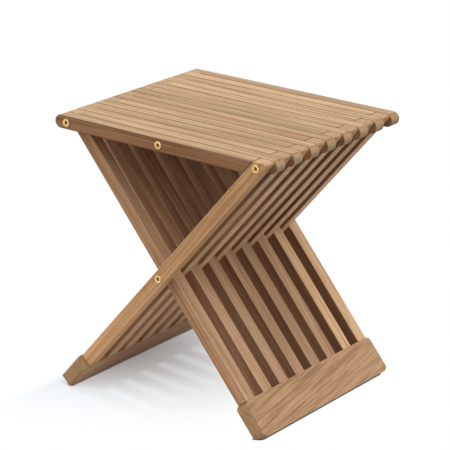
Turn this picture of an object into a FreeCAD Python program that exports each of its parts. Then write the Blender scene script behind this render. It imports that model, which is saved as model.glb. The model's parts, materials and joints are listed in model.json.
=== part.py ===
import FreeCAD, Part
import math
import os

# Folding slatted stool: two leg frames crossed like scissors and two seat halves,
# interleaved slat by slat and threaded on four pivot rods.
# Millimetres. X runs along the seat, Y across the slats from front to back, Z is up.
# The origin is on the floor under the middle of the seat.

# Slats
SEAT_HEIGHT = 450.0
SLATS_PER_SET = 8
SLAT_THICKNESS = 21.3       # along Y
SLAT_WIDTH = 21.2           # seen from the front
SLAT_GAP = 0.35             # between neighbouring slats
SLAT_EDGE_RADIUS = 1.0      # eased long edges
NOSE_REACH = 23.0           # rounded seat end, beyond its hinge rod
SEAT_END_GAP = 1.2          # between a seat slat's slanted end and the leg beside it
LEG_TIP_RADIUS = 4.0        # blunted outer tip at a leg's top

# Pivots, with brass rods and screws
HINGE_HALF_SPACING = 182.7  # middle rod to each seat hinge rod
LEG_PIVOT_HEIGHT = 224.2
ROD_DIAMETER = 8.0
RUNNING_CLEARANCE = 0.05    # all round a rod in its holes
SCREW_SHANK_DIAMETER = 5.0
SCREW_SHANK_LENGTH = 11.0   # beyond the collar
SCREW_BORE_SPARE = 1.5      # bore beyond the shank's end
THREAD_CLEARANCE = 0.05
SCREW_COLLAR_LENGTH = 4.5   # under the head, as thick as the rod
SCREW_COLLAR_GAP = 0.15     # collar to the rod's end
SCREW_HEAD_DIAMETER = 12.5
SCREW_HEAD_HEIGHT = 1.6
SCREW_HEAD_RADIUS = 1.2     # rounded rim
SCREW_HEAD_GAP = 0.15       # head to the slat under it
SOCKET_SIDES = 6
SOCKET_ACROSS_FLATS = 5.5
SOCKET_DEPTH = 4.0
SOCKET_MOUTH_DIAMETER = 7.8  # countersunk at 45 degrees

# Foot bars, tenoned onto the leg slats
BAR_HEIGHT = 62.5           # along the leg
BAR_THICKNESS = 24.0
BAR_OVERHANG = 9.0          # past the outer slats of its own leg frame
BAR_EDGE_RADIUS = 1.7       # long edges
BAR_END_RADIUS = 5.0        # end face into the wide faces
BAR_CORNER_RADIUS = 14.0    # end face into the top and bottom
SOLE_WIDTH = 12.0           # flat that stands on the floor
TENON_LENGTH = 35.0
TENON_SHOULDER = 5.5        # on all four sides
TENON_CLEARANCE = 0.1

# Worked out from the above
SLAT_PITCH = SLAT_THICKNESS + SLAT_GAP
LAYERS = 2 * SLATS_PER_SET
SEAT_DEPTH = LAYERS * SLAT_PITCH - SLAT_GAP
HALF_WIDTH = SLAT_WIDTH / 2
ROD_END_RECESS = SCREW_COLLAR_LENGTH - SCREW_HEAD_GAP + SCREW_COLLAR_GAP
SCREW_BORE_DEPTH = SCREW_SHANK_LENGTH - SCREW_COLLAR_GAP + SCREW_BORE_SPARE
ROD_HEIGHT = SEAT_HEIGHT - HALF_WIDTH
LEG_ANGLE = math.atan2(HINGE_HALF_SPACING, ROD_HEIGHT - LEG_PIVOT_HEIGHT)
SIN = math.sin(LEG_ANGLE)
COS = math.cos(LEG_ANGLE)
HINGE_DISTANCE = math.hypot(HINGE_HALF_SPACING, ROD_HEIGHT - LEG_PIVOT_HEIGHT)
NOSE_CENTRE = HINGE_HALF_SPACING + NOSE_REACH - HALF_WIDTH
SOLE_INNER = (LEG_PIVOT_HEIGHT - BAR_THICKNESS / 2 * SIN) / COS
BAR_END = SOLE_INNER + SOLE_WIDTH * SIN
BAR_TOP = BAR_END - BAR_HEIGHT
BAR_LENGTH = (LAYERS - 2) * SLAT_PITCH + SLAT_THICKNESS + 2 * BAR_OVERHANG
TENON_WIDTH = SLAT_THICKNESS - 2 * TENON_SHOULDER
TENON_THICKNESS = SLAT_WIDTH - 2 * TENON_SHOULDER

X_AXIS = FreeCAD.Vector(1, 0, 0)
Y_AXIS = FreeCAD.Vector(0, 1, 0)
Z_AXIS = FreeCAD.Vector(0, 0, 1)
ORIGIN = FreeCAD.Vector(0, 0, 0)
TINY = 1e-4                 # a length below this counts as none


def point(x, z):
    return FreeCAD.Vector(x, 0, z)


def line(start, end):
    return Part.LineSegment(start, end).toShape()


def arc(start, middle, end):
    return Part.Arc(start, middle, end).toShape()


def closed_outline(points):
    return [line(a, b) for a, b in zip(points, points[1:] + points[:1])]


def prism(edges, depth):
    """A solid with this outline, its depth centred on the XZ plane."""
    solid = Part.Face(Part.Wire(edges)).extrude(Y_AXIS * depth)
    solid.translate(Y_AXIS * (-depth / 2))
    return solid


def centred_box(width, depth, height, top):
    """A box centred on X and Y that hangs down from the height top."""
    return Part.makeBox(width, depth, height, FreeCAD.Vector(-width / 2, -depth / 2, top - height))


def edges_along(solid, direction):
    """The straight edges that run along a direction."""
    found = []
    for edge in solid.Edges:
        run = edge.lastVertex().Point - edge.firstVertex().Point
        if run.Length > TINY and run.cross(direction).Length < TINY:
            found.append(edge)
    return found


def is_level_with(edge, place):
    """Whether an edge's middle lies straight in front of a point, behind it or on it."""
    offset = edge.CenterOfMass - place
    return math.hypot(offset.x, offset.z) < TINY


def ease_outline(solid, sharp_at=None):
    """Round the edges of the front and back faces, apart from those level with sharp_at."""
    edges = [edge for edge in solid.Edges if edge.BoundBox.YLength < TINY]
    if sharp_at is not None:
        edges = [edge for edge in edges if not is_level_with(edge, sharp_at)]
    return solid.makeFillet(SLAT_EDGE_RADIUS, edges)


def drill(solid, places):
    """Rod holes through a slat at each (x, z)."""
    radius = ROD_DIAMETER / 2 + RUNNING_CLEARANCE
    for x, z in places:
        start = FreeCAD.Vector(x, -SLAT_THICKNESS, z)
        solid = solid.cut(Part.makeCylinder(radius, 2 * SLAT_THICKNESS, start, Y_AXIS))
    return solid


def half_turn(solid):
    """The twin on the other side, turned about the vertical."""
    twin = solid.copy()
    twin.rotate(ORIGIN, Z_AXIS, 180)
    return twin


def at_layer(solid, layer):
    """A slat or pin moved to its place in the stack, layer 0 at the front."""
    moved = solid.copy()
    moved.translate(Y_AXIS * ((layer - (LAYERS - 1) / 2) * SLAT_PITCH))
    return moved


# Leg slats: one runs from the seat's right hinge down to the left foot

def on_leg(along, across):
    """A point of that leg: along it up from the pivot, and across it to the lower right."""
    return point(along * SIN + across * COS, LEG_PIVOT_HEIGHT + along * COS - across * SIN)


def stand_leg(solid):
    """Lean a piece, drawn upright with the pivot at the origin, along that leg."""
    solid.rotate(ORIGIN, Y_AXIS, math.degrees(LEG_ANGLE))
    solid.translate(Z_AXIS * LEG_PIVOT_HEIGHT)
    return solid


def leg_slat():
    upper_corner = (SEAT_HEIGHT - LEG_PIVOT_HEIGHT - HALF_WIDTH * SIN) / COS
    nose_across = (NOSE_CENTRE - HINGE_HALF_SPACING) * COS
    nose_along = HINGE_DISTANCE + (NOSE_CENTRE - HINGE_HALF_SPACING) * SIN
    tip_along = nose_along + math.sqrt(HALF_WIDTH ** 2 - (HALF_WIDTH - nose_across) ** 2)
    tip = on_leg(tip_along, HALF_WIDTH)
    centre = point(NOSE_CENTRE, ROD_HEIGHT)
    crest = point(NOSE_CENTRE, SEAT_HEIGHT)
    bulge = ((tip - centre) + (crest - centre)).normalize() * HALF_WIDTH
    left_top = on_leg(upper_corner, -HALF_WIDTH)
    left_foot = on_leg(-BAR_TOP, -HALF_WIDTH)
    right_foot = on_leg(-BAR_TOP, HALF_WIDTH)
    edges = [
        line(left_foot, left_top),
        line(left_top, crest),
        arc(crest, centre + bulge, tip),
        line(tip, right_foot),
        line(right_foot, left_foot),
    ]
    slat = prism(edges, SLAT_THICKNESS)
    tip_edges = [edge for edge in edges_along(slat, Y_AXIS) if is_level_with(edge, tip)]
    slat = slat.makeFillet(LEG_TIP_RADIUS, tip_edges)
    slat = ease_outline(slat, sharp_at=on_leg(-BAR_TOP, 0))
    tenon = stand_leg(centred_box(TENON_THICKNESS, TENON_WIDTH, TENON_LENGTH, -BAR_TOP))
    slat = slat.fuse(tenon).removeSplitter()
    return drill(slat, [(0, LEG_PIVOT_HEIGHT), (HINGE_HALF_SPACING, ROD_HEIGHT)])


# Seat slats: one runs from its rounded nose on the left to the leg on the right

def seat_slat():
    seat_bottom = SEAT_HEIGHT - SLAT_WIDTH
    end_across = -(HALF_WIDTH + SEAT_END_GAP)
    end_top = point(((SEAT_HEIGHT - LEG_PIVOT_HEIGHT) * SIN + end_across) / COS, SEAT_HEIGHT)
    end_bottom = point(((seat_bottom - LEG_PIVOT_HEIGHT) * SIN + end_across) / COS, seat_bottom)
    nose_top = point(-NOSE_CENTRE, SEAT_HEIGHT)
    nose_bottom = point(-NOSE_CENTRE, seat_bottom)
    edges = [
        arc(nose_bottom, point(-NOSE_CENTRE - HALF_WIDTH, ROD_HEIGHT), nose_top),
        line(nose_top, end_top),
        line(end_top, end_bottom),
        line(end_bottom, nose_bottom),
    ]
    slat = ease_outline(prism(edges, SLAT_THICKNESS))
    return drill(slat, [(-HINGE_HALF_SPACING, ROD_HEIGHT), (0, ROD_HEIGHT)])


# Foot bar of the left foot: a board with rounded ends and a mortise for each leg slat

def foot_bar():
    half = BAR_THICKNESS / 2
    profile = [
        point(-half, -BAR_TOP),
        point(half, -BAR_TOP),
        point(half, -SOLE_INNER),
        point(half - SOLE_WIDTH * COS, -BAR_END),
        point(-half, -BAR_END),
    ]
    bar = prism(closed_outline(profile), BAR_LENGTH)
    bar = bar.makeFillet(BAR_EDGE_RADIUS, edges_along(bar, Y_AXIS))
    board = centred_box(BAR_THICKNESS, BAR_LENGTH, BAR_HEIGHT, -BAR_TOP)
    rounded_corners = board.makeFillet(BAR_CORNER_RADIUS, edges_along(board, X_AXIS))
    rounded_ends = board.makeFillet(BAR_END_RADIUS, edges_along(board, Z_AXIS))
    bar = bar.common(rounded_corners).common(rounded_ends)
    for number in range(SLATS_PER_SET):
        mortise = centred_box(
            TENON_THICKNESS + 2 * TENON_CLEARANCE,
            TENON_WIDTH + 2 * TENON_CLEARANCE,
            TENON_LENGTH + TENON_CLEARANCE,
            -BAR_TOP,
        )
        mortise.translate(Y_AXIS * ((2 * number - SLATS_PER_SET + 1) * SLAT_PITCH))
        bar = bar.cut(mortise)
    bar = stand_leg(bar)
    bar.translate(Y_AXIS * (-SLAT_PITCH / 2))
    return bar


# Brass rods, and the screws in their ends

def rod(x, z, front, back, bored_front, bored_back):
    """A pivot rod from front to back along Y, bored for a screw at the ends asked for."""
    solid = Part.makeCylinder(ROD_DIAMETER / 2, back - front, FreeCAD.Vector(x, front, z), Y_AXIS)
    radius = SCREW_SHANK_DIAMETER / 2 + THREAD_CLEARANCE
    if bored_front:
        start = FreeCAD.Vector(x, front, z)
        solid = solid.cut(Part.makeCylinder(radius, SCREW_BORE_DEPTH, start, Y_AXIS))
    if bored_back:
        start = FreeCAD.Vector(x, back, z)
        solid = solid.cut(Part.makeCylinder(radius, SCREW_BORE_DEPTH, start, -Y_AXIS))
    return solid


def long_rod(x, z):
    end = SEAT_DEPTH / 2 - ROD_END_RECESS
    return rod(x, z, -end, end, True, True)


def screw(x, z):
    """A screw in a rod's front end: a rounded head on a collar, with a countersunk hexagon socket."""
    under_head = -SEAT_DEPTH / 2 - SCREW_HEAD_GAP
    face = under_head - SCREW_HEAD_HEIGHT
    face_centre = FreeCAD.Vector(x, face, z)
    head = Part.makeCylinder(SCREW_HEAD_DIAMETER / 2, SCREW_HEAD_HEIGHT, face_centre, Y_AXIS)
    rim = [edge for edge in head.Edges if edge.BoundBox.YMax < face + TINY]
    head = head.makeFillet(SCREW_HEAD_RADIUS, rim)
    collar_start = FreeCAD.Vector(x, under_head, z)
    collar = Part.makeCylinder(ROD_DIAMETER / 2, SCREW_COLLAR_LENGTH, collar_start, Y_AXIS)
    shank_start = FreeCAD.Vector(x, under_head + SCREW_COLLAR_LENGTH, z)
    shank = Part.makeCylinder(SCREW_SHANK_DIAMETER / 2, SCREW_SHANK_LENGTH, shank_start, Y_AXIS)
    corner_angle = 2 * math.pi / SOCKET_SIDES
    corner_radius = SOCKET_ACROSS_FLATS / 2 / math.cos(corner_angle / 2)
    corners = [
        FreeCAD.Vector(x + corner_radius * math.cos(turn), face, z + corner_radius * math.sin(turn))
        for turn in [corner_angle * step for step in range(SOCKET_SIDES)]
    ]
    socket = Part.Face(Part.Wire(closed_outline(corners))).extrude(Y_AXIS * SOCKET_DEPTH)
    mouth_depth = (SOCKET_MOUTH_DIAMETER - SOCKET_ACROSS_FLATS) / 2
    mouth = Part.makeCone(
        SOCKET_MOUTH_DIAMETER / 2, SOCKET_ACROSS_FLATS / 2, mouth_depth, face_centre, Y_AXIS
    )
    return head.fuse([collar, shank]).removeSplitter().cut([socket, mouth])


def back_screw(x, z):
    """The same screw in the back end of the rod at x."""
    return half_turn(screw(-x, z))


def middle_pin(layer):
    """The stretch of the middle rod inside one slat."""
    half = SLAT_THICKNESS / 2
    first = layer == 0
    last = layer == LAYERS - 1
    front = -half + (ROD_END_RECESS if first else 0)
    back = half - (ROD_END_RECESS if last else 0)
    return at_layer(rod(0, ROD_HEIGHT, front, back, first, last), layer)


# All pieces by name

def stool_pieces():
    pieces = {}
    leg = leg_slat()
    seat = seat_slat()
    twin_leg = half_turn(leg)
    twin_seat = half_turn(seat)
    for number in range(SLATS_PER_SET):
        odd_layer = 2 * number
        even_layer = 2 * number + 1
        pieces[f"left_leg_slat_{number + 1}"] = at_layer(leg, odd_layer)
        pieces[f"left_seat_slat_{number + 1}"] = at_layer(seat, odd_layer)
        pieces[f"right_leg_slat_{number + 1}"] = at_layer(twin_leg, even_layer)
        pieces[f"right_seat_slat_{number + 1}"] = at_layer(twin_seat, even_layer)
    bar = foot_bar()
    pieces["left_foot_bar"] = bar
    pieces["right_foot_bar"] = half_turn(bar)
    pivots = {
        "left_hinge": (-HINGE_HALF_SPACING, ROD_HEIGHT),
        "right_hinge": (HINGE_HALF_SPACING, ROD_HEIGHT),
        "leg_pivot": (0, LEG_PIVOT_HEIGHT),
    }
    for name, (x, z) in pivots.items():
        pieces[f"{name}_rod"] = long_rod(x, z)
        pieces[f"{name}_screws"] = Part.Compound([screw(x, z), back_screw(x, z)])
    pieces["left_seat_pivot_pins"] = Part.Compound([middle_pin(layer) for layer in range(0, LAYERS, 2)])
    pieces["right_seat_pivot_pins"] = Part.Compound([middle_pin(layer) for layer in range(1, LAYERS, 2)])
    pieces["left_seat_pivot_screw"] = screw(0, ROD_HEIGHT)
    pieces["right_seat_pivot_screw"] = back_screw(0, ROD_HEIGHT)
    return pieces


os.makedirs("parts", exist_ok=True)
for name, shape in stool_pieces().items():
    shape.exportStep(f"parts/{name}.step")
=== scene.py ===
import json
import math
import random
from collections import namedtuple

import bpy
from mathutils import Matrix, Vector


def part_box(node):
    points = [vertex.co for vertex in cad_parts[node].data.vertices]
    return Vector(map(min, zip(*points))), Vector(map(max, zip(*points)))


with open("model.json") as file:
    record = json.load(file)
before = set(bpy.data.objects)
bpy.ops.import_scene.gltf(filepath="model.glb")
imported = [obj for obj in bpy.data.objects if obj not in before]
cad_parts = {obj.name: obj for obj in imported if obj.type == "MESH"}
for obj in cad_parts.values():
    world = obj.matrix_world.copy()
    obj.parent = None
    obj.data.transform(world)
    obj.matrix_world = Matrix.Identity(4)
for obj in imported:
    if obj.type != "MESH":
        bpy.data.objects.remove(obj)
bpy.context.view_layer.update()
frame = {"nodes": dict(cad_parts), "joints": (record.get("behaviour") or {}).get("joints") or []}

# Folding slatted stool of oiled teak with brass screws, on a white studio floor.
# Metres. X runs along the seat, Y from the front slat to the back one, Z is up.

MM = 0.001
X_AXIS = Vector((1, 0, 0))
Y_AXIS = Vector((0, 1, 0))
Z_AXIS = Vector((0, 0, 1))

# The photograph's viewpoint
IMAGE_SIDE = 450             # pixels
FOCAL_LENGTH = 2203.2        # pixels
EYE = Vector((1.9893, -2.6250, 1.4340))
VIEW_AZIMUTH = math.radians(37.206)
VIEW_ELEVATION = math.radians(19.549)
VIEW_ROLL = math.radians(0.6)
VIEW_END = 100.0             # how far the camera sees

# Light
SKY_LOW = 0.02               # soft light from all round
SOFT_BOXES = [               # where each stands, seen from the stool, and its strength
    ((0.55, 0.0, 0.83), 3.3),
    ((-0.65, -0.65, 0.4), 2.4),
]
BOX_FOCUS = 6.0              # how closely a box's light gathers
KEY_POWER = 8.6              # watts
KEY_SIDE = 0.16              # of the square lamp
KEY_PLACE = Vector((-1.0, 0.28, 2.15))
FLOOR_SIDE = 30.0
FLOOR_ROUGHNESS = 0.9
FLOOR_WHITE = (0.82, 0.92, 1.0, 1)  # as the camera sees it
FLOOR_BOUNCE = (0.7, 0.15)   # share of light it throws back, near the stool and far off
BOUNCE_REACH = (0.3, 0.9)    # from the stool, over which that falls
FLOOR_SHADE = 0.84           # most of the floor's look that is lit, and so takes shadow
SHADE_MIDDLE = Vector((-0.21, 0, 0))  # where the shadow is strongest
SHADE_REACH = (0.38, 0.42, 1)  # over which the floor turns plain white
SHADE_LEFT = (-0.225, -0.180)  # across which the floor turns plain white on the left
# Painted contact shadow: a dark line painted into the floor's white where a foot bar meets it
CONTACT_SHADOW_REACH = 2 * MM       # of the dark line where a foot bar meets the floor
CONTACT_SHADOW_OPEN = (0.80, 0.98)  # how open the floor is there, from dark to white
CONTACT_SHADOW_TONE = (96, 94, 92)
CONTACT_SHADOW_SAMPLES = 8

# Teak's noises: their lengths in millimetres along the grain and across it, a shift of the seed
# that keeps them apart, how many finer layers they have, and how strong those are
Grain = namedtuple("Grain", "along across shift detail roughness")
BROAD_GRAIN = Grain(260, 6, 0.0, 2.0, 0.5)
WARP_GRAIN = Grain(150, 26, 7.3, 1.0, 0.5)
LINE_GRAIN = Grain(90, 2.0, 2.3, 2.0, 0.6)
FIBRE_GRAIN = Grain(40, 0.8, 3.1, 3.0, 0.65)
PORE_GRAIN = Grain(14, 0.9, 11.7, 1.0, 0.5)
STREAK_GRAIN = Grain(320, 3.4, 5.9, 1.0, 0.5)
NOISE_MEAN = 0.5
BROAD_LIMITS = (0.3, 0.7)    # of each noise, from none to full
PORE_LIMITS = (0.58, 0.70)
STREAK_LIMITS = (0.54, 0.76)

# Teak's growth rings, ends and edges, in millimetres where no other unit is named
WARP_REACH = 5.0             # how far the rings bend
RING_SPACING = 2.8
RING_DRIFT = 8.0             # over which the spacing wanders
RING_WANDER = 2.0            # how far it wanders, in rings
LATE_RISE = (0.3, 0.88)      # part of a ring over which it darkens
LATE_FALL = (0.9, 1.0)       # part of a ring over which it turns pale again
PORE_BAND = (0.9, 0.2)       # part of a ring over which its pores come in
RUN_OUT = 0.2                # share of its slope with which the grain also runs into open faces
PITH_REACH = (25, 70)        # from the piece's middle to the heart of its tree
EDGE_BAND = (1.9, 0.2)       # from the long edges, over which their own tone comes in
EDGE_LIMITS = (0.2, 0.55)    # of the line noise, from where that tone is gone to where it is whole
END_GRAIN_START = 0.45       # cosine between the face and the grain
END_GRAIN_FULL = 0.85
SEED = 7
SEED_RANGE = (0, 100)        # of the pieces' own seeds

# Teak's depth of tone, from 0, pale, to 1, dark, and how much its features cover
BASE_DEPTH = -0.1
BROAD_DEPTH = 0.85
FIBRE_DEPTH = 0.5
PORE_COVER = 0.35
END_COVER = 0.75
END_RING_COVER = 0.5
EDGE_COVER = 0.6

# Teak's surface
TEAK_ROUGHNESS = 0.42
FIBRE_ROUGHNESS = 0.22       # added by each feature
PORE_ROUGHNESS = 0.15
END_ROUGHNESS = 0.12
EDGE_ROUGHNESS = -0.08
RING_HEIGHT = 0.35           # against the fibres' height
PORE_HEIGHT = -0.8
BUMP_STRENGTH = 0.4
BUMP_DEPTH = 0.12 * MM
OILED_SHEEN = 0.12           # level of the shine

# Teak tones, as sRGB: a darker tone painted as shade on faces in the gaps, and the tone of faces
# open to the light
TONES = {
    "seat": ((174, 128, 93), (192, 160, 123)),
    "leg": ((160, 117, 87), (193, 155, 122)),
    # Painted light: a brighter copy of the leg tone, standing in for light bounced from the floor
    "fair_painted_bounce": ((160, 117, 87), (233, 191, 148)),
    "tan": ((182, 138, 104), (193, 155, 122)),
    "bar": ((155, 121, 88), (191, 152, 117)),
    "golden": ((225, 174, 124), (225, 174, 124)),
    "pink": ((172, 120, 90), (178, 143, 109)),
    "grey": ((168, 128, 95), (182, 153, 116)),
}
PALE_GRAIN = (1.12, 1.14, 1.17)  # against the mean
DARK_GRAIN = (0.74, 0.68, 0.60)
PIECE_TONES = {
    "left_seat_slat_4": "pink",
    "left_seat_slat_5": "grey",
    "left_leg_slat_1": "golden",
    "right_leg_slat_1": "tan",
    # These two right leg slats take the brighter tone of painted bounce light
    "right_leg_slat_7": "fair_painted_bounce",
    "right_leg_slat_8": "fair_painted_bounce",
}
TONE_SPREAD = 0.10           # between one piece and another
LINE_TONE = (112, 70, 42)
SLAT_END_TONE = (206, 176, 138)
BAR_END_TONE = (179, 143, 104)
JOINT_TONE = (52, 29, 16)
# Pale long edges of legs and bars: wear, and a painted highlight
WORN_AND_HIGHLIGHT_TONE = (236, 206, 166)
# Painted shade gives way to the open tone between these two cosines
OPEN_START = 0.85            # cosine between the face and the way that open faces look
OPEN_FULL = 0.985

# How each kind of piece is cut: its usual tone, the tones of its ends and long edges, how
# strongly its rings, lines and dark streaks show, how far the grain runs out of line, and how
# fine the lines are along the grain and across it
Cut = namedtuple("Cut", "tone end_tone edge_tone figure lines streaks slope fineness")
SEAT_CUT = Cut("seat", SLAT_END_TONE, JOINT_TONE, 0.3, 2.0, 0.5, (-0.02, 0.02), (0.6, 0.55, 0.55))
RIGHT_LEG_CUT = Cut("leg", SLAT_END_TONE, WORN_AND_HIGHLIGHT_TONE, 0.3, 2.6, 0.3, (-0.02, 0.02), (1.0, 1.0, 1.0))
# The left legs take the brighter tone of painted bounce light
LEFT_LEG_CUT = RIGHT_LEG_CUT._replace(tone="fair_painted_bounce", streaks=0.2)
BAR_CUT = Cut("bar", BAR_END_TONE, WORN_AND_HIGHLIGHT_TONE, 0.2, 3.4, 0.5, (0.13, 0.18), (0.6, 1.3, 1.3))

# Brass
BRASS_BRIGHT = (255, 236, 170)
BRASS_DULL = (222, 178, 100)
# Darker in and round the socket: grime, and painted shade in the hollow
SOCKET_GRIME_AND_SHADE = (160, 106, 50)
SOCKET_REACH = (2.2 * MM, 3.2 * MM)
TURNING_STEP = 0.35 * MM     # lathe marks
TURNING_DEPTH = 0.01 * MM
TURNING_STRENGTH = 0.15
TARNISH_SIZE = 3.0 * MM
TARNISH_DETAIL = 3.0
TARNISH_LIMITS = (0.35, 0.7)  # of the noise, from none to full
BRASS_ROUGHNESS = 0.38
TARNISH_ROUGHNESS = 0.16     # added
GRIME_ROUGHNESS = 0.2
BRASS_METALLIC = 0.7


def srgb(colour):
    """A colour written as sRGB, 0 to 255, as linear values with alpha."""
    shares = [part / 255 for part in colour]
    linear = [s / 12.92 if s <= 0.04045 else ((s + 0.055) / 1.055) ** 2.4 for s in shares]
    return (*linear, 1.0)


class Graph:
    """Adds nodes to a tree. Most calls return the output that they make."""

    def __init__(self, tree):
        self.tree = tree

    def put(self, socket, value):
        """Wire an output to a socket, or set the socket to a plain value."""
        if isinstance(value, bpy.types.NodeSocket):
            self.tree.links.new(value, socket)
        else:
            socket.default_value = value

    def node(self, kind, **settings):
        made = self.tree.nodes.new(kind)
        for name, value in settings.items():
            setattr(made, name, value)
        return made

    def math(self, operation, *values):
        made = self.node("ShaderNodeMath", operation=operation)
        for socket, value in zip(made.inputs, values):
            self.put(socket, value)
        return made.outputs[0]

    def vector_math(self, operation, *values):
        made = self.node("ShaderNodeVectorMath", operation=operation)
        for socket, value in zip(made.inputs, values):
            self.put(socket, value)
        return made.outputs["Value" if operation in ("DOT_PRODUCT", "LENGTH") else "Vector"]

    def ramp(self, value, start, end, low=0.0, high=1.0):
        """From low to high, smoothly, as the value goes from start to end."""
        made = self.node("ShaderNodeMapRange", interpolation_type="SMOOTHSTEP")
        for socket, given in zip(made.inputs, (value, start, end, low, high)):
            self.put(socket, given)
        return made.outputs[0]

    def noise(self, place, seed, detail=2.0, roughness=0.5):
        made = self.node("ShaderNodeTexNoise", noise_dimensions="4D")
        self.put(made.inputs["Vector"], place)
        self.put(made.inputs["W"], seed)
        self.put(made.inputs["Scale"], 1.0)
        self.put(made.inputs["Detail"], detail)
        self.put(made.inputs["Roughness"], roughness)
        return made.outputs[0]

    def grain_noise(self, place, grain, seed):
        """Noise drawn out along the grain."""
        scale = (1 / grain.along, 1 / grain.across, 1 / grain.across)
        scaled = self.vector_math("MULTIPLY", place, scale)
        return self.noise(scaled, self.math("ADD", seed, grain.shift), grain.detail, grain.roughness)

    def mix(self, share, first, second):
        made = self.node("ShaderNodeMix", data_type="RGBA")
        self.put(made.inputs["Factor"], share)
        colours = [socket for socket in made.inputs if socket.type == "RGBA"]
        self.put(colours[0], first)
        self.put(colours[1], second)
        return next(socket for socket in made.outputs if socket.type == "RGBA")

    def parts(self, vector):
        made = self.node("ShaderNodeSeparateXYZ")
        self.put(made.inputs[0], vector)
        return made.outputs[0], made.outputs[1], made.outputs[2]

    def bump(self, height, strength, distance):
        made = self.node("ShaderNodeBump")
        self.put(made.inputs["Strength"], strength)
        self.put(made.inputs["Distance"], distance)
        self.put(made.inputs["Height"], height)
        return made.outputs["Normal"]

    def seen(self):
        """1 for rays from the camera, and for those that a surface mirrors or lets through."""
        path = self.node("ShaderNodeLightPath").outputs
        mirrored = self.math("MAXIMUM", path["Is Glossy Ray"], path["Is Transmission Ray"])
        return self.math("MAXIMUM", path["Is Camera Ray"], mirrored)


def new_material(name):
    material = bpy.data.materials.new(name)
    material.use_nodes = True
    return material, Graph(material.node_tree), material.node_tree.nodes["Principled BSDF"]


# Teak, as a solid wood that the pieces are cut from

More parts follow.
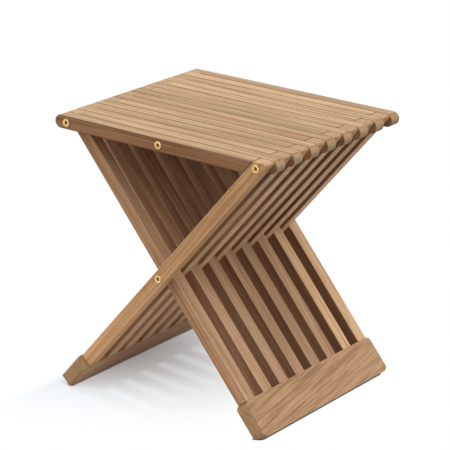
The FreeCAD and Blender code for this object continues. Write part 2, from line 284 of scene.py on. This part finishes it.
def make_teak_group():
    """Colour, roughness and height of teak at a place in millimetres, with the grain along X."""
    tree = bpy.data.node_groups.new("teak", "ShaderNodeTree")
    inputs = {
        "Place": "Vector",
        "Slope": "Vector",
        "Pith": "Vector",
        "Half size": "Vector",
        "End": "Float",
        "Open": "Float",
        "Seed": "Float",
        "Figure": "Float",
        "Lines": "Float",
        "Streaks": "Float",
        "Fineness": "Vector",
        "Painted shade tone": "Color",
        "Open tone": "Color",
        "End tone": "Color",
        "Edge tone": "Color",
    }
    outputs = {"Colour": "Color", "Roughness": "Float", "Height": "Float"}
    for name, kind in inputs.items():
        tree.interface.new_socket(name=name, in_out="INPUT", socket_type=f"NodeSocket{kind}")
    for name, kind in outputs.items():
        tree.interface.new_socket(name=name, in_out="OUTPUT", socket_type=f"NodeSocket{kind}")
    graph = Graph(tree)
    given = graph.node("NodeGroupInput").outputs
    seed = given["Seed"]
    x, y, z = graph.parts(given["Place"])
    lean = graph.vector_math("MULTIPLY", given["Slope"], x)
    place = graph.vector_math("ADD", given["Place"], lean)

    broad = graph.ramp(graph.grain_noise(place, BROAD_GRAIN, seed), *BROAD_LIMITS)
    warp = graph.grain_noise(place, WARP_GRAIN, seed)
    fine = graph.vector_math("MULTIPLY", place, given["Fineness"])
    line_noise = graph.grain_noise(fine, LINE_GRAIN, seed)
    fibre = graph.grain_noise(fine, FIBRE_GRAIN, seed)
    pore_noise = graph.grain_noise(place, PORE_GRAIN, seed)
    streaks = graph.ramp(graph.grain_noise(place, STREAK_GRAIN, seed), *STREAK_LIMITS)

    # Growth rings round the pith, each darkening outwards to a sharp edge
    from_pith = graph.vector_math("SUBTRACT", place, given["Pith"])
    outward = graph.vector_math("LENGTH", graph.vector_math("MULTIPLY", from_pith, (0, 1, 1)))
    bent = graph.math("MULTIPLY_ADD", warp, 2 * WARP_REACH, outward)
    drift = graph.noise((0, 0, 0), graph.math("MULTIPLY_ADD", bent, 1 / RING_DRIFT, seed))
    wander = graph.math("MULTIPLY", drift, RING_WANDER)
    ring = graph.math("MULTIPLY_ADD", bent, 1 / RING_SPACING, wander)
    within = graph.math("FRACT", ring)
    ring_tone = graph.node("ShaderNodeTexWhiteNoise", noise_dimensions="1D")
    graph.put(ring_tone.inputs["W"], graph.math("ADD", graph.math("FLOOR", ring), seed))
    rise = graph.ramp(within, *LATE_RISE)
    fall = graph.ramp(within, *LATE_FALL, 1.0, 0.0)
    late = graph.math("MULTIPLY", graph.math("MULTIPLY", rise, fall), ring_tone.outputs["Value"])
    pore_share = graph.ramp(within, *PORE_BAND)
    pores = graph.math("MULTIPLY", graph.ramp(pore_noise, *PORE_LIMITS), pore_share)

    # Tone, from pale to dark grain, with pores and streaks over it
    line_swing = graph.math("SUBTRACT", line_noise, NOISE_MEAN)
    fibre_swing = graph.math("SUBTRACT", fibre, NOISE_MEAN)
    depth = graph.math("MULTIPLY_ADD", broad, BROAD_DEPTH, BASE_DEPTH)
    depth = graph.math("MULTIPLY_ADD", late, given["Figure"], depth)
    depth = graph.math("MULTIPLY_ADD", line_swing, given["Lines"], depth)
    depth = graph.math("MULTIPLY_ADD", fibre_swing, FIBRE_DEPTH, depth)
    # Painted shade: faces turned into the gaps take the darker tone, faces turned outwards the open
    # tone
    unshaded_share = graph.ramp(given["Open"], OPEN_START, OPEN_FULL)
    tone = graph.mix(unshaded_share, given["Painted shade tone"], given["Open tone"])
    grain = graph.mix(depth, (*PALE_GRAIN, 1), (*DARK_GRAIN, 1))
    colour = graph.vector_math("MULTIPLY", tone, grain)
    pore_cover = graph.math("MULTIPLY", pores, PORE_COVER)
    dark_cover = graph.math("MULTIPLY_ADD", streaks, given["Streaks"], pore_cover)
    colour = graph.mix(dark_cover, colour, srgb(LINE_TONE))

    # End grain has its own tone and shows the rings, and the long edges have a tone too: dark joints
    # on the seat, and on legs and bars pale wear with a painted highlight
    ends = graph.ramp(given["End"], END_GRAIN_START, END_GRAIN_FULL)
    colour = graph.mix(graph.math("MULTIPLY", ends, END_COVER), colour, given["End tone"])
    end_rings = graph.math("MULTIPLY", graph.math("MULTIPLY", ends, late), END_RING_COVER)
    colour = graph.mix(end_rings, colour, srgb(LINE_TONE))
    _, half_y, half_z = graph.parts(given["Half size"])
    inset_y = graph.math("SUBTRACT", half_y, graph.math("ABSOLUTE", y))
    inset_z = graph.math("SUBTRACT", half_z, graph.math("ABSOLUTE", z))
    edge = graph.ramp(graph.math("ADD", inset_y, inset_z), *EDGE_BAND)
    edge = graph.math("MULTIPLY", edge, graph.ramp(line_noise, *EDGE_LIMITS))
    colour = graph.mix(graph.math("MULTIPLY", edge, EDGE_COVER), colour, given["Edge tone"])

    rough = graph.math("MULTIPLY_ADD", fibre, FIBRE_ROUGHNESS, TEAK_ROUGHNESS)
    rough = graph.math("MULTIPLY_ADD", pores, PORE_ROUGHNESS, rough)
    rough = graph.math("MULTIPLY_ADD", ends, END_ROUGHNESS, rough)
    rough = graph.math("MULTIPLY_ADD", edge, EDGE_ROUGHNESS, rough)
    height = graph.math("MULTIPLY_ADD", late, RING_HEIGHT, fibre)
    height = graph.math("MULTIPLY_ADD", pores, PORE_HEIGHT, height)

    result = graph.node("NodeGroupOutput").inputs
    graph.put(result["Colour"], colour)
    graph.put(result["Roughness"], rough)
    graph.put(result["Height"], height)
    return tree


def size_along(node, axes):
    """A node's middle, and half its size along each axis."""
    middle = Vector()
    half_size = Vector()
    for index, axis in enumerate(axes):
        reaches = [vertex.co.dot(axis) for vertex in node.data.vertices]
        middle += axis * (min(reaches) + max(reaches)) / 2
        half_size[index] = (max(reaches) - min(reaches)) / 2
    return middle, half_size


def teak_material(name, group, along, outward, cut, draws):
    """Teak for one piece, with its grain along one axis, and its open faces along another."""
    axes = (along, outward.cross(along), outward)
    middle, half_size = size_along(frame["nodes"][name], axes)
    bearing = draws.uniform(0, 2 * math.pi)
    reach = draws.uniform(*PITH_REACH)
    shift = draws.uniform(1 - TONE_SPREAD, 1 + TONE_SPREAD)
    tone = PIECE_TONES.get(name, cut.tone)
    # The darker of the two tones is painted shade for faces in the gaps
    shade_painted, open_to_light = [[part * shift for part in srgb(colour)] for colour in TONES[tone]]
    material, graph, shader = new_material(f"teak_{name}")
    given = graph.node("ShaderNodeTexCoord").outputs
    mapping = graph.node("ShaderNodeMapping", vector_type="TEXTURE")
    graph.put(mapping.inputs["Vector"], given["Object"])
    graph.put(mapping.inputs["Location"], middle)
    graph.put(mapping.inputs["Rotation"], Matrix(axes).transposed().to_euler())
    graph.put(mapping.inputs["Scale"], (MM, MM, MM))
    end = graph.math("ABSOLUTE", graph.vector_math("DOT_PRODUCT", given["Normal"], along))
    open_way = graph.math("ABSOLUTE", graph.vector_math("DOT_PRODUCT", given["Normal"], outward))
    teak = graph.node("ShaderNodeGroup", node_tree=group)
    sideways = draws.uniform(*cut.slope)
    inward = draws.uniform(*cut.slope) * RUN_OUT
    values = {
        "Place": mapping.outputs["Vector"],
        "Slope": (0, sideways, inward),
        "Pith": (0, reach * math.cos(bearing), reach * math.sin(bearing)),
        "Half size": half_size / MM,
        "End": end,
        "Open": open_way,
        "Seed": draws.uniform(*SEED_RANGE),
        "Figure": cut.figure,
        "Lines": cut.lines,
        "Streaks": cut.streaks,
        "Fineness": cut.fineness,
        "Painted shade tone": shade_painted,
        "Open tone": open_to_light,
        "End tone": srgb(cut.end_tone),
        "Edge tone": srgb(cut.edge_tone),
    }
    for socket, value in values.items():
        graph.put(teak.inputs[socket], value)
    graph.put(shader.inputs["Base Color"], teak.outputs["Colour"])
    graph.put(shader.inputs["Roughness"], teak.outputs["Roughness"])
    grain_normal = graph.bump(teak.outputs["Height"], BUMP_STRENGTH, BUMP_DEPTH)
    graph.put(shader.inputs["Normal"], grain_normal)
    graph.put(shader.inputs["Specular IOR Level"], OILED_SHEEN)
    return material


# Brass, with lathe marks round each screw's axis

def brass_material(name):
    low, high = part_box(name)
    material, graph, shader = new_material(f"brass_{name}")
    place = graph.node("ShaderNodeTexCoord").outputs["Object"]
    from_axis = graph.vector_math("SUBTRACT", place, (low + high) / 2)
    outward = graph.vector_math("LENGTH", graph.vector_math("MULTIPLY", from_axis, (1, 0, 1)))
    marks = graph.math("SINE", graph.math("MULTIPLY", outward, 2 * math.pi / TURNING_STEP))
    scaled = graph.vector_math("MULTIPLY", place, (1 / TARNISH_SIZE,) * 3)
    tarnish = graph.ramp(graph.noise(scaled, SEED, TARNISH_DETAIL), *TARNISH_LIMITS)
    # Grime and painted shade darken the socket and its mouth
    socket_grime_and_shade = graph.ramp(outward, *SOCKET_REACH, 1.0, 0.0)
    colour = graph.mix(tarnish, srgb(BRASS_BRIGHT), srgb(BRASS_DULL))
    graph.put(shader.inputs["Base Color"], graph.mix(socket_grime_and_shade, colour, srgb(SOCKET_GRIME_AND_SHADE)))
    rough = graph.math("MULTIPLY_ADD", tarnish, TARNISH_ROUGHNESS, BRASS_ROUGHNESS)
    rough = graph.math("MULTIPLY_ADD", socket_grime_and_shade, GRIME_ROUGHNESS, rough)
    graph.put(shader.inputs["Roughness"], rough)
    graph.put(shader.inputs["Normal"], graph.bump(marks, TURNING_STRENGTH, TURNING_DEPTH))
    graph.put(shader.inputs["Metallic"], BRASS_METALLIC)
    return material


def paint(name, material):
    for slot in frame["nodes"][name].material_slots:
        slot.material = material


def paint_stool():
    joints = {joint["name"]: Vector(joint["pos_m"]) for joint in frame["joints"]}
    left_leg_run = (joints["right_hinge"] - joints["fold"]).normalized()
    right_leg_run = (joints["left_hinge"] - joints["fold"]).normalized()
    group = make_teak_group()
    draws = random.Random(SEED)
    for name in sorted(frame["nodes"]):
        run = left_leg_run if name.startswith("left") else right_leg_run
        if "seat_slat" in name:
            material = teak_material(name, group, X_AXIS, Z_AXIS, SEAT_CUT, draws)
        elif "leg_slat" in name:
            cut = LEFT_LEG_CUT if name.startswith("left") else RIGHT_LEG_CUT
            material = teak_material(name, group, run, run.cross(Y_AXIS), cut, draws)
        elif "foot_bar" in name:
            material = teak_material(name, group, Y_AXIS, run.cross(Y_AXIS), BAR_CUT, draws)
        else:
            material = brass_material(name)
        paint(name, material)


# White floor that takes the stool's shadow and turns plain white further out, with a painted contact
# shadow along the foot bars

def make_floor():
    half = FLOOR_SIDE / 2
    mesh = bpy.data.meshes.new("floor")
    corners = [(-half, -half, 0), (half, -half, 0), (half, half, 0), (-half, half, 0)]
    mesh.from_pydata(corners, [], [(0, 1, 2, 3)])
    floor = bpy.data.objects.new("floor", mesh)
    bpy.context.scene.collection.objects.link(floor)
    material, graph, shader = new_material("floor_white")
    place = graph.node("ShaderNodeTexCoord").outputs["Object"]
    bounce = graph.ramp(graph.vector_math("LENGTH", place), *BOUNCE_REACH, *FLOOR_BOUNCE)
    graph.put(shader.inputs["Base Color"], graph.mix(graph.seen(), bounce, FLOOR_WHITE))
    graph.put(shader.inputs["Roughness"], FLOOR_ROUGHNESS)
    graph.put(shader.inputs["Specular IOR Level"], 0.0)
    offset = graph.vector_math("SUBTRACT", place, SHADE_MIDDLE)
    distance = graph.vector_math("LENGTH", graph.vector_math("DIVIDE", offset, SHADE_REACH))
    plain = graph.ramp(distance, 0.0, 1.0, 1 - FLOOR_SHADE, 1.0)
    left = graph.ramp(graph.parts(place)[0], *SHADE_LEFT, 1.0, 0.0)
    plain = graph.math("MAXIMUM", plain, left)
    # Painted contact shadow: the plain white darkens where a foot bar closes the floor in
    contact_shadow = graph.node("ShaderNodeAmbientOcclusion", samples=CONTACT_SHADOW_SAMPLES)
    graph.put(contact_shadow.inputs["Distance"], CONTACT_SHADOW_REACH)
    unshaded_share = graph.ramp(contact_shadow.outputs["AO"], *CONTACT_SHADOW_OPEN)
    white = graph.node("ShaderNodeEmission")
    graph.put(white.inputs["Color"], graph.mix(unshaded_share, srgb(CONTACT_SHADOW_TONE), (1, 1, 1, 1)))
    blend = graph.node("ShaderNodeMixShader")
    graph.put(blend.inputs[0], graph.math("MULTIPLY", plain, graph.seen()))
    graph.put(blend.inputs[1], shader.outputs["BSDF"])
    graph.put(blend.inputs[2], white.outputs["Emission"])
    surface = material.node_tree.nodes["Material Output"].inputs["Surface"]
    graph.put(surface, blend.outputs["Shader"])
    mesh.materials.append(material)


def make_sky():
    world = bpy.data.worlds.new("studio")
    world.use_nodes = True
    bpy.context.scene.world = world
    graph = Graph(world.node_tree)
    background = world.node_tree.nodes["Background"]
    direction = graph.node("ShaderNodeTexCoord").outputs["Generated"]
    soft = SKY_LOW
    for stand, strength in SOFT_BOXES:
        nearness = graph.vector_math("DOT_PRODUCT", direction, Vector(stand).normalized())
        glow = graph.math("POWER", graph.math("MAXIMUM", nearness, 0.0), BOX_FOCUS)
        soft = graph.math("MULTIPLY_ADD", glow, strength, soft)
    seen = graph.seen()
    unseen = graph.math("SUBTRACT", 1.0, seen)
    graph.put(background.inputs["Color"], (1, 1, 1, 1))
    graph.put(background.inputs["Strength"], graph.math("MULTIPLY_ADD", soft, unseen, seen))


def make_key_light():
    lamp = bpy.data.lights.new("key", "AREA")
    lamp.energy = KEY_POWER
    lamp.size = KEY_SIDE
    key = bpy.data.objects.new("key", lamp)
    key.location = KEY_PLACE
    key.rotation_euler = (-KEY_PLACE).to_track_quat("-Z", "Y").to_euler()
    bpy.context.scene.collection.objects.link(key)


def make_camera():
    """The camera at the photograph's place, looking the way it looked."""
    sideways = Vector((math.cos(VIEW_AZIMUTH), math.sin(VIEW_AZIMUTH), 0))
    level = Vector((-math.sin(VIEW_AZIMUTH), math.cos(VIEW_AZIMUTH), 0))
    forward = level * math.cos(VIEW_ELEVATION) - Vector((0, 0, math.sin(VIEW_ELEVATION)))
    upward = sideways.cross(forward)
    right = sideways * math.cos(VIEW_ROLL) + upward * math.sin(VIEW_ROLL)
    up = upward * math.cos(VIEW_ROLL) - sideways * math.sin(VIEW_ROLL)
    lens = bpy.data.cameras.new("camera")
    lens.lens = FOCAL_LENGTH / IMAGE_SIDE * lens.sensor_width
    lens.clip_end = VIEW_END
    camera = bpy.data.objects.new("camera", lens)
    camera.matrix_world = Matrix((right, up, -forward)).transposed().to_4x4()
    camera.location = EYE
    bpy.context.scene.collection.objects.link(camera)
    bpy.context.scene.camera = camera


paint_stool()
make_floor()
make_sky()
make_key_light()
make_camera()
bpy.context.scene.view_settings.view_transform = "Standard"
